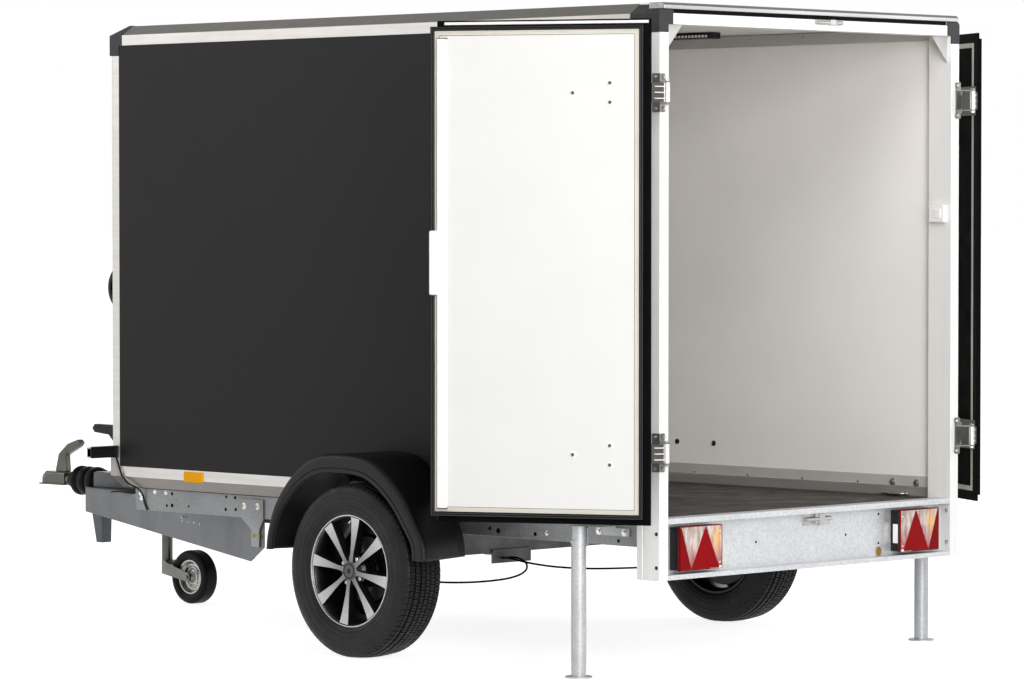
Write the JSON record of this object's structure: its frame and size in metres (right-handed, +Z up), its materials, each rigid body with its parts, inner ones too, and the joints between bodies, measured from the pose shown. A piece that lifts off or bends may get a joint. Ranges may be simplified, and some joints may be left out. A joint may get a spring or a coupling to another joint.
{
  "type": "cargo trailer",
  "caption": "Enclosed single-axle cargo trailer with open rear barn doors, V drawbar, overrun coupling, jockey wheel and rear stands.",
  "frame": {"origin": "on the floor, midway between the rearmost and foremost points, on the centre plane", "axes": "+X to the trailer's right side, +Y forward to the coupling, +Z up"},
  "size_m": [2.385, 4.116, 2.178],
  "materials": {
    "aluminium": "anodised",
    "black_plastic": "grained",
    "black_steel": "black paint",
    "floor_film": "film faced plywood",
    "galvanised": "hot-dip galvanised",
    "grey_plastic": "grained",
    "jockey_rubber": "solid tyre",
    "lamp_red": "clear moulded lens",
    "panel_black": "matte sandwich panel",
    "panel_white": "satin",
    "rubber": "matte",
    "tyre": "matte",
    "wheel": "machined face, black pockets",
    "white_plastic": "moulded",
    "zinc": "zinc plated"
  },
  "bodies": {
    "trailer": {"axle_arms": "black_steel", "axle_beam": "black_steel", "bottom_rails": "aluminium", "brake_cables": "rubber", "chassis_beams": "galvanised", "corner_caps": "grey_plastic", "coupling_head": "zinc", "coupling_lever": "zinc", "cross_members": "galvanised", "drawbar_arms": "galvanised", "drawbar_foot": "galvanised", "drawbar_head": "galvanised", "fenders": "black_plastic", "floor_board": "floor_film", "frame_brackets": "galvanised", "front_panel": "panel_black", "front_posts": "aluminium", "grab_handles": "black_plastic", "handbrake_lever": "black_plastic", "header_gussets": "white_plastic", "hinge_brackets": "zinc", "jockey_bridge": "galvanised", "jockey_tube": "zinc", "latch_keepers": "zinc", "marker_lamps": "black_plastic", "overrun_bellows": "rubber", "overrun_housing": "galvanised", "rear_cross_panel": "galvanised", "rear_header": "aluminium", "rear_posts": "aluminium", "roof_panel": "panel_white", "roof_rails": "aluminium", "side_panels": "panel_black", "stand_brackets": "galvanised", "tail_lamps": "lamp_red"},
    "left_wheel": {"left_tyre": "tyre", "left_rim": "wheel", "left_brake_drum": "black_steel"},
    "right_wheel": {"right_tyre": "tyre", "right_rim": "wheel", "right_brake_drum": "black_steel"},
    "left_door": {"left_door_frame": "aluminium", "left_door_panel": "panel_black", "left_door_seal": "rubber", "left_hinge_straps": "zinc", "left_lock_cover": "white_plastic"},
    "right_door": {"right_door_frame": "aluminium", "right_door_panel": "panel_black", "right_door_seal": "rubber", "right_hinge_straps": "zinc", "right_door_handle": "black_plastic"},
    "left_stand": {"left_stand": "galvanised"},
    "right_stand": {"right_stand": "galvanised"},
    "jockey_stem": {"jockey_stem": "zinc"},
    "jockey_fork": {"jockey_fork": "zinc"},
    "jockey_wheel": {"jockey_tyre": "jockey_rubber", "jockey_rim": "aluminium"}
  },
  "joints": [
    {"name": "left_wheel_spin", "type": "hinge", "parent": "trailer", "child": "left_wheel", "pos_m": [-0.913, -0.794, 0.296], "axis": [1, 0, 0], "continuous": true},
    {"name": "right_wheel_spin", "type": "hinge", "parent": "trailer", "child": "right_wheel", "pos_m": [0.913, -0.794, 0.296], "axis": [1, 0, 0], "continuous": true},
    {"name": "left_door_hinge", "type": "hinge", "parent": "trailer", "child": "left_door", "pos_m": [-0.77, -2.049, 1.31], "axis": [0, 0, 1], "range_deg": [-25, 241.5]},
    {"name": "right_door_hinge", "type": "hinge", "parent": "trailer", "child": "right_door", "pos_m": [0.77, -2.049, 1.31], "axis": [0, 0, -1], "range_deg": [-25, 241.5]},
    {"name": "left_stand_swing", "type": "hinge", "parent": "trailer", "child": "left_stand", "pos_m": [-0.864, -1.749, 0.44], "axis": [1, 0, 0], "range_deg": [0, 90]},
    {"name": "right_stand_swing", "type": "hinge", "parent": "trailer", "child": "right_stand", "pos_m": [0.864, -1.749, 0.44], "axis": [1, 0, 0], "range_deg": [0, 90]},
    {"name": "jockey_lift", "type": "slide", "parent": "trailer", "child": "jockey_stem", "axis": [0, 0, 1], "range_m": [0, 0.1]},
    {"name": "jockey_swivel", "type": "hinge", "parent": "jockey_stem", "child": "jockey_fork", "pos_m": [0, 1.298, 0.16], "axis": [0, 0, 1], "continuous": true},
    {"name": "jockey_wheel_spin", "type": "hinge", "parent": "jockey_fork", "child": "jockey_wheel", "pos_m": [0, 1.138, 0.1025], "axis": [1, 0, 0], "continuous": true}
  ]
}
